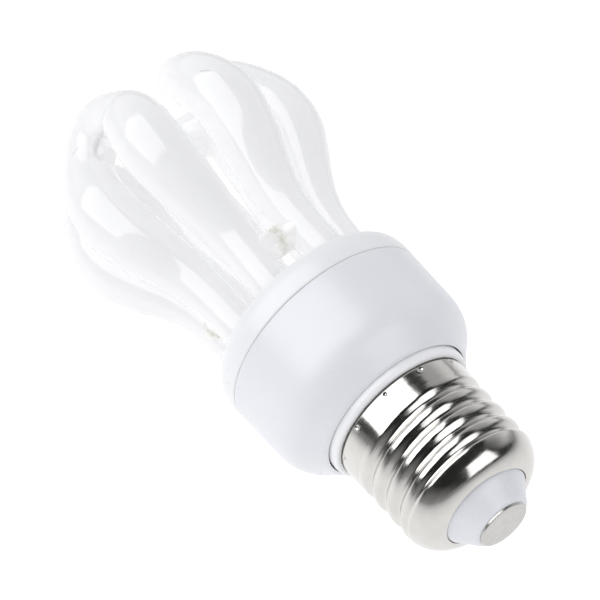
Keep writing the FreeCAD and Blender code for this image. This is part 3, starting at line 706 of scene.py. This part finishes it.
def contact_metal():
    m, nt, b = new_mat("contact_metal")
    v = coords(nt)
    b.inputs["Metallic"].default_value = 1.0
    nt.links.new(ramp(nt, noise(nt, v, 500.0, 4.0), [(0.3, (0.56, 0.552, 0.535)), (0.7, (0.62, 0.612, 0.595))]), b.inputs["Base Color"])
    st = nt.nodes.new("ShaderNodeMapping")
    st.inputs["Scale"].default_value = (1.0, 14.0, 1.0)
    st.inputs["Rotation"].default_value = (0.0, 0.0, 0.6)
    nt.links.new(v, st.inputs["Vector"])
    scr = noise(nt, st.outputs[0], 700.0, 4.0, 0.7)
    nt.links.new(remap(nt, scr, 0.22, 0.40), b.inputs["Roughness"])
    nt.links.new(bump(nt, scr, 0.12, 0.00005), b.inputs["Normal"])
    return m


def hidden_mat(name, lo, hi, rough, metallic=0.0, grain=1500.0, spread=(1.0, 1.0, 1.0), coat=0.0):
    """Materials of the pieces inside the housing: colour, gloss and surface all vary."""
    m, nt, b = new_mat(name)
    mp = nt.nodes.new("ShaderNodeMapping")
    mp.inputs["Scale"].default_value = spread
    nt.links.new(coords(nt), mp.inputs["Vector"])
    v = mp.outputs[0]
    b.inputs["Metallic"].default_value = metallic
    b.inputs["Coat Weight"].default_value = coat
    nt.links.new(ramp(nt, noise(nt, v, grain * 0.4, 4.0), [(0.3, lo), (0.7, hi)]), b.inputs["Base Color"])
    nt.links.new(remap(nt, noise(nt, v, grain * 0.8, 3.0), rough[0], rough[1]), b.inputs["Roughness"])
    nt.links.new(bump(nt, noise(nt, v, grain, 3.0), 0.25, 0.0001), b.inputs["Normal"])
    return m


PHOSPHOR, BRIDGE, PLASTIC, NICKEL, INSUL, CONTACT = phosphor_glass(), bridge_glass(), white_plastic(), nickel(), insulator(), contact_metal()
# painted light: the collar's plastic is a lighter copy of the housing's white plastic, standing in for more light
# falling on it
COLLAR_PAINTED_LIGHT, RIM_GAP_SHADE = white_plastic("collar_plastic_painted_light", ((0.915, 0.919, 0.937), (0.932, 0.936, 0.952))), rim_gap_shade_material()
# painted light: the holder's plastic is a lighter copy of the housing's white plastic, standing in for more light
# falling on it
HOLDER_PAINTED_LIGHT = white_plastic("holder_plastic_painted_light", ((0.862, 0.868, 0.886), (0.882, 0.888, 0.904)))
HIDDEN = {
    "tube_cement": hidden_mat("silicone", (0.80, 0.79, 0.75), (0.90, 0.89, 0.86), (0.45, 0.7), grain=600.0),
    "circuit_board": hidden_mat("board", (0.52, 0.35, 0.16), (0.70, 0.50, 0.27), (0.4, 0.6), grain=2400.0, spread=(1.0, 4.0, 1.0)),
    "bulk_capacitor": hidden_mat("black_sleeve", (0.025, 0.03, 0.06), (0.05, 0.06, 0.10), (0.18, 0.32), grain=900.0),
    "choke_core": hidden_mat("ferrite", (0.06, 0.06, 0.065), (0.12, 0.12, 0.125), (0.5, 0.75), grain=5200.0),
    "choke_bobbin": hidden_mat("bobbin", (0.06, 0.06, 0.065), (0.10, 0.10, 0.105), (0.4, 0.55)),
    "choke_winding": hidden_mat("copper", (0.58, 0.26, 0.10), (0.80, 0.42, 0.20), (0.2, 0.4), 1.0, 5200.0, (6.0, 0.3, 0.3), 0.6),
    "switching_transistors": hidden_mat("black_epoxy", (0.03, 0.03, 0.032), (0.06, 0.06, 0.062), (0.45, 0.65), grain=4200.0),
    "film_capacitors": hidden_mat("film_epoxy", (0.36, 0.08, 0.04), (0.50, 0.15, 0.08), (0.15, 0.3), grain=500.0, coat=0.5),
    "resistors": hidden_mat("resistor_coat", (0.62, 0.50, 0.32), (0.80, 0.68, 0.47), (0.3, 0.5), grain=1400.0),
    "trigger_diac": hidden_mat("diac_glass", (0.42, 0.16, 0.10), (0.60, 0.28, 0.18), (0.1, 0.2), coat=0.6),
    "fuse_resistor": hidden_mat("fuse_coat", (0.33, 0.37, 0.35), (0.46, 0.50, 0.48), (0.5, 0.7)),
    "live_wire": hidden_mat("wire_black", (0.03, 0.03, 0.03), (0.06, 0.06, 0.06), (0.35, 0.5)),
    "neutral_wire": hidden_mat("wire_white", (0.75, 0.75, 0.73), (0.88, 0.88, 0.86), (0.35, 0.5)),
    "wrap_pins": hidden_mat("tinned_wire", (0.62, 0.62, 0.63), (0.78, 0.78, 0.79), (0.2, 0.4), 1.0),
}
for twin, of in (("drive_toroid", "choke_core"), ("toroid_windings", "choke_winding"), ("rectifier_diodes", "switching_transistors"), ("filament_leads", "wrap_pins")):
    HIDDEN[twin] = HIDDEN[of]


def dress(o, mat, stands_for=None):
    o.data.transform(LAY)
    o.matrix_world = Matrix.Identity(4)
    o.data.materials.clear()
    o.data.materials.append(mat)
    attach(o, "root")
    if stands_for:
        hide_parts(stands_for)
    return o


for name, mat in HIDDEN.items():
    nodes[name].data.materials.clear()
    nodes[name].data.materials.append(mat)

tubes = dress(make_tubes(), PHOSPHOR, "discharge_tube")
tubes.visible_diffuse = tubes.visible_shadow = False      # the coated glass lets soft light through
bridges = dress(make_bridges(), BRIDGE, "discharge_tube")
bridges.visible_diffuse = bridges.visible_shadow = False
dress(make_shell(), NICKEL, "screw_shell")
dress(make_neck(), COLLAR_PAINTED_LIGHT, "cap_neck")
dress(make_rim_gap_shade(), RIM_GAP_SHADE, "cap_neck")
dress(make_housing(), PLASTIC, "lower_housing")
dress(make_holder(), HOLDER_PAINTED_LIGHT, "tube_holder")
dress(make_insulator(), INSUL, "cap_insulator")
dress(make_contact(), CONTACT, "centre_contact")

# ------------------------------------------------------------------ table, light and camera
sc = bpy.context.scene
sc.view_settings.view_transform = "Standard"
sc.view_settings.look = "None"


def plane(name, corners):
    me = bpy.data.meshes.new(name)
    me.from_pydata(corners, [], [(0, 1, 2, 3)])
    o = bpy.data.objects.new(name, me)
    sc.collection.objects.link(o)
    return o


FLOOR_GLOW, KEY_W, SHEEN_W, WRAP_W, GLINT_W, FILL, SWEEP = 0.90, 0.4, 4.3, 0.75, 1.6, 0.87, 1.0
floor = plane("table_top", [(-6, -6, 0), (6, -6, 0), (6, 6, 0), (-6, 6, 0)])
fm, nt, b = new_mat("table_white")
nt.links.new(ramp(nt, noise(nt, coords(nt), 3.0, 2.0), [(0.3, (0.27, 0.27, 0.27)), (0.7, (0.29, 0.29, 0.29))]), b.inputs["Base Color"])
b.inputs["Roughness"].default_value = 0.7
b.inputs["Emission Color"].default_value = (1.0, 1.0, 1.0, 1.0)
# the lit patch of the table fades out with distance, which only the mirror-bright cap shows
fl = nt.nodes.new("ShaderNodeLightPath")
reach = nt.nodes.new("ShaderNodeVectorMath")
reach.operation = "LENGTH"
nt.links.new(coords(nt, False), reach.inputs[0])
fade = math_node(nt, "DIVIDE", 1.0, math_node(nt, "ADD", 1.0, math_node(nt, "POWER", math_node(nt, "DIVIDE", reach.outputs["Value"], 0.16), 2.0)))
lost = math_node(nt, "MULTIPLY", fl.outputs["Is Glossy Ray"], math_node(nt, "SUBTRACT", 1.0, fade))
dim = math_node(nt, "MULTIPLY", fl.outputs["Is Diffuse Ray"], 0.25)
left_over = math_node(nt, "SUBTRACT", math_node(nt, "SUBTRACT", 1.0, lost), dim)
nt.links.new(math_node(nt, "MULTIPLY", left_over, FLOOR_GLOW), b.inputs["Emission Strength"])
floor.data.materials.append(fm)


def softbox(name, direction, dist, size_x, size_y, watts, long_axis, spin=0.0, colour=(1, 1, 1)):
    d = Vector(direction).normalized()
    li = bpy.data.lights.new(name, "AREA")
    li.shape, li.size, li.size_y = "RECTANGLE", size_x, size_y
    li.energy, li.color = watts, colour
    o = bpy.data.objects.new(name, li)
    sc.collection.objects.link(o)
    y = Vector(long_axis)
    y = (y - d * y.dot(d)).normalized()
    x = y.cross(d)
    m = Matrix((x, y, d)).transposed().to_4x4()
    m = m @ Matrix.Rotation(math.radians(spin), 4, "Z")
    m.translation = Vector((0, 0, 0.02)) + d * dist
    o.matrix_world = m
    o.visible_camera = False
    return o


KEY_DIR, FRONT_DIR = (-0.370, -0.419, 0.830), (0.837, 0.305, 0.454)
softbox("key", KEY_DIR, 0.62, 0.66, 0.93, KEY_W, (0, -1, 0), -12.0)
# the panels' sheen on glass and metal is stronger than their soft light
softbox("key_sheen", KEY_DIR, 0.63, 0.66, 0.93, SHEEN_W, (0, -1, 0), -12.0).visible_diffuse = False
softbox("front_sheen", FRONT_DIR, 0.81, 0.56, 0.56, GLINT_W, (0, 0, 1)).visible_diffuse = False
# soft light from the crown's side, as off a wide white card that is out of the mirror's way
softbox("wrap", (-0.62, -0.58, 0.53), 0.90, 0.90, 0.90, WRAP_W, (0, 0, 1)).visible_glossy = False

world = bpy.data.worlds.new("studio")
sc.world = world
world.use_nodes = True
wt = world.node_tree
wt.nodes.clear()
lp = wt.nodes.new("ShaderNodeLightPath")
dark, pale = wt.nodes.new("ShaderNodeBackground"), wt.nodes.new("ShaderNodeBackground")
pale.inputs["Color"].default_value = (1.0, 1.0, 1.0, 1)
# the room is dark but for the white sweep behind the table, which fades out upwards
ray = wt.nodes.new("ShaderNodeTexCoord").outputs["Generated"]
sep = wt.nodes.new("ShaderNodeSeparateXYZ")
wt.links.new(ray, sep.inputs[0])
behind = wt.nodes.new("ShaderNodeVectorMath")
behind.operation = "DOT_PRODUCT"
behind.inputs[1].default_value = (math.cos(math.radians(140)), math.sin(math.radians(140)), 0.0)
wt.links.new(ray, behind.inputs[0])
low = remap(wt, sep.outputs["Z"], 0.35, 0.0, 0.05, 0.30)
side_f = remap(wt, math_node(wt, "SUBTRACT", behind.outputs["Value"], low), 0.0, 1.0, 0.0, 0.55)
rise = ramp(wt, sep.outputs["Z"], [(0.0, (1.0, 1.0, 1.0)), (0.22, (0.95, 0.95, 0.95)), (0.50, (0.55, 0.55, 0.55)), (0.74, (0.50, 0.50, 0.50)), (0.80, (0.0, 0.0, 0.0))])
sweep = math_node(wt, "MULTIPLY", math_node(wt, "MULTIPLY", side_f, rise), SWEEP)
ahead = wt.nodes.new("ShaderNodeVectorMath")
ahead.operation = "DOT_PRODUCT"
ahead.inputs[1].default_value = (math.cos(math.radians(-62)), math.sin(math.radians(-62)), 0.0)
wt.links.new(ray, ahead.inputs[0])
band = math_node(wt, "MULTIPLY", remap(wt, ahead.outputs["Value"], 0.0, 0.22, 0.66, 0.94), remap(wt, sep.outputs["Z"], 1.0, 0.0, 0.16, 0.46))
brim = math_node(wt, "MULTIPLY", remap(wt, ahead.outputs["Value"], 0.0, 0.32, 0.20, 0.60), remap(wt, sep.outputs["Z"], 1.0, 0.0, 0.05, 0.18))
band = math_node(wt, "MAXIMUM", band, brim)
sweep = math_node(wt, "ADD", sweep, band)
wt.links.new(math_node(wt, "ADD", sweep, 0.025), dark.inputs["Strength"])
mix, wo = wt.nodes.new("ShaderNodeMixShader"), wt.nodes.new("ShaderNodeOutputWorld")
fill, soft = wt.nodes.new("ShaderNodeBackground"), wt.nodes.new("ShaderNodeMixShader")
fill.inputs["Color"].default_value = (0.978, 0.982, 1.0, 1)
aside = wt.nodes.new("ShaderNodeVectorMath")          # the far right side of the room is a little dimmer
aside.operation = "DOT_PRODUCT"
aside.inputs[1].default_value = (0.124, 0.924, 0.362)
wt.links.new(ray, aside.inputs[0])
wt.links.new(remap(wt, aside.outputs["Value"], FILL * 1.10, FILL * 0.90, -1.0, 1.0), fill.inputs["Strength"])
wt.links.new(lp.outputs["Is Diffuse Ray"], soft.inputs[0])
wt.links.new(dark.outputs[0], soft.inputs[1])
wt.links.new(fill.outputs[0], soft.inputs[2])
wt.links.new(lp.outputs["Is Camera Ray"], mix.inputs[0])
wt.links.new(soft.outputs[0], mix.inputs[1])
wt.links.new(pale.outputs[0], mix.inputs[2])
wt.links.new(mix.outputs[0], wo.inputs[0])

# the camera, from the picture's own proportions: the contact's place and size and the lean of the axis
F_PX, DIST, SPOT, TURN, RISE = 4250.0, 701.0, (504.6, 525.5), 227.0, 26.9
ta, tb = math.radians(TURN), math.radians(RISE)
axis = Vector((math.cos(tb) * math.cos(ta), math.cos(tb) * math.sin(ta), math.sin(tb)))
p0 = Vector(((SPOT[0] - 300) / F_PX, (SPOT[1] - 300) / F_PX, 1.0)) * DIST
toc = -(p0 + 50 * axis).normalized()
e2 = (toc - axis * toc.dot(axis)).normalized()
e1 = axis.cross(e2)
to_cam = Matrix((e2, e1, axis)).transposed()            # lamp axes in camera axes: right, down, forward
cw = LAY.to_3x3() @ to_cam.transposed()                # camera axes in the row frame
eye = LAY @ ((to_cam.transposed() @ (-p0)) * 0.001)
right, down, ahead = cw.col[0], cw.col[1], cw.col[2]
cam_m = Matrix((right, -down, -ahead)).transposed().to_4x4()
cam_m.translation = eye
cd = bpy.data.cameras.new("camera")
cd.sensor_width = 36.0
cd.lens = F_PX / 600.0 * 36.0
cd.clip_start, cd.clip_end = 0.05, 50.0
cam = bpy.data.objects.new("camera", cd)
sc.collection.objects.link(cam)
cam.matrix_world = cam_m
sc.camera = cam
